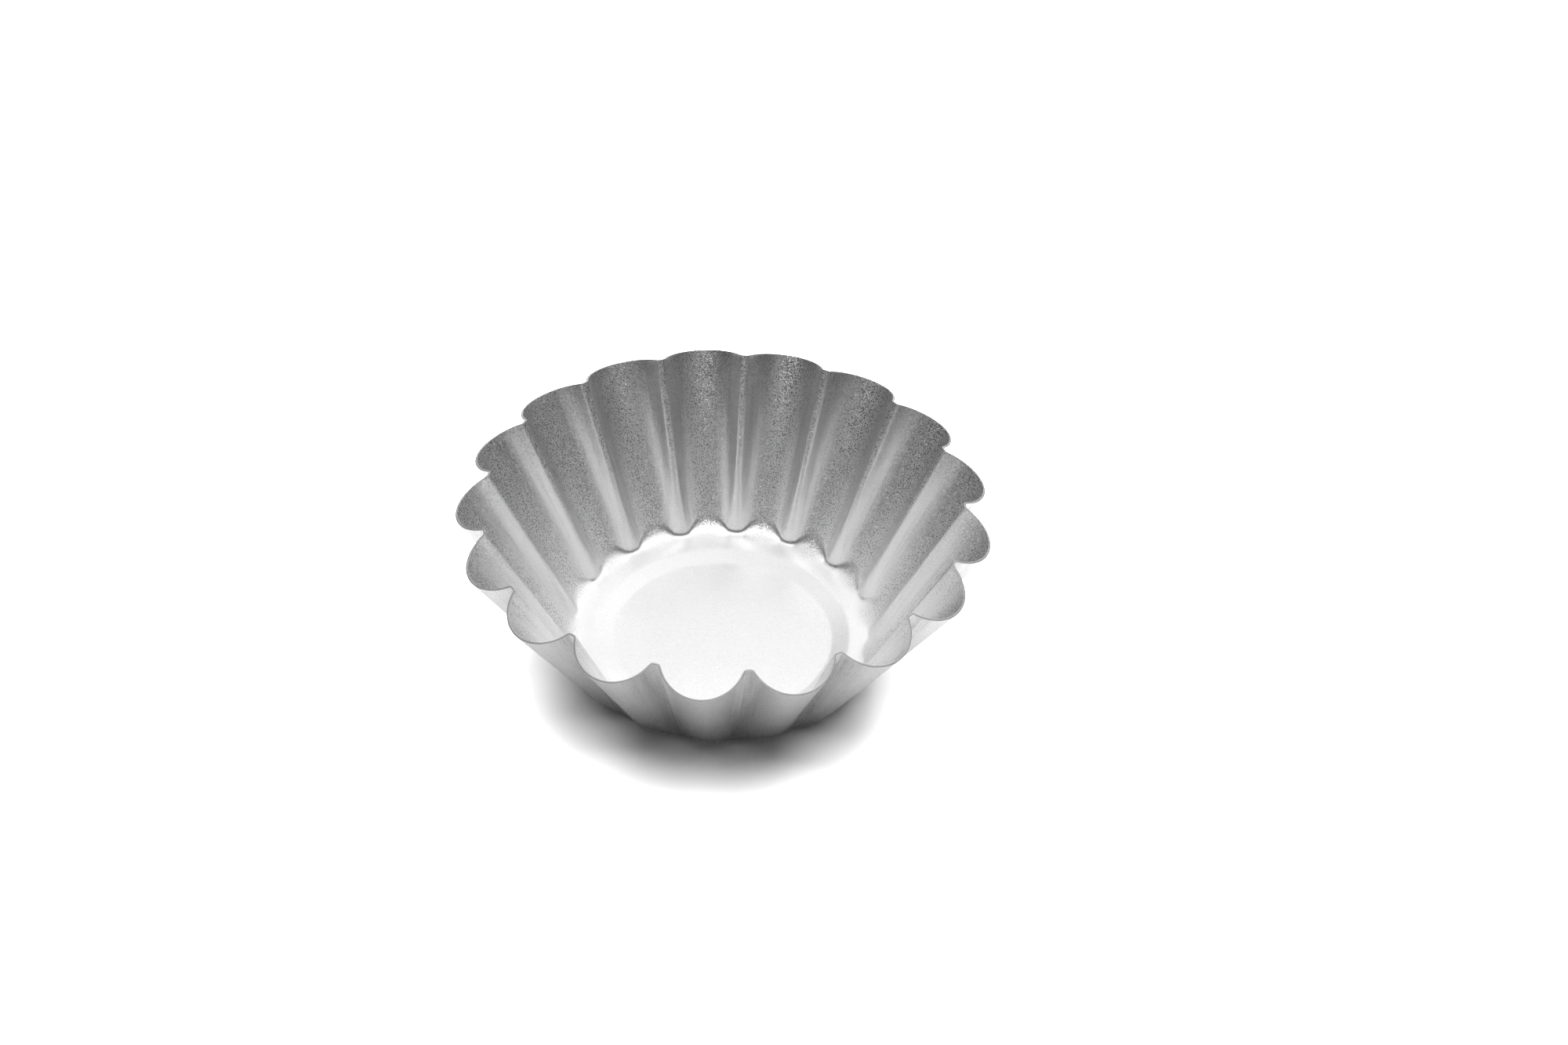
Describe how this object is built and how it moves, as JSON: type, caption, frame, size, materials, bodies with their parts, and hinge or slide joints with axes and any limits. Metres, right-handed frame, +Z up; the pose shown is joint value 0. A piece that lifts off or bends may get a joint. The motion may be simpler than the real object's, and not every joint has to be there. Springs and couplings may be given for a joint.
{
  "type": "deep fluted tart pan",
  "caption": "Deep flared tart pan of thin tinplate with a fluted wall, a raw scalloped rim and a shallow disc pressed into its flat floor, for baking small tarts and brioches.",
  "frame": {"origin": "on the pan's axis, on the underside of the pressed disc that it stands on", "axes": "+Z up along the pan's axis towards the open rim, +Y through a ridge of the fluted wall"},
  "size_m": [0.1002, 0.0999, 0.0345],
  "materials": {
    "tinplate": "satin"
  },
  "bodies": {
    "root": {"fluted_pan": "tinplate"}
  },
  "joints": []
}
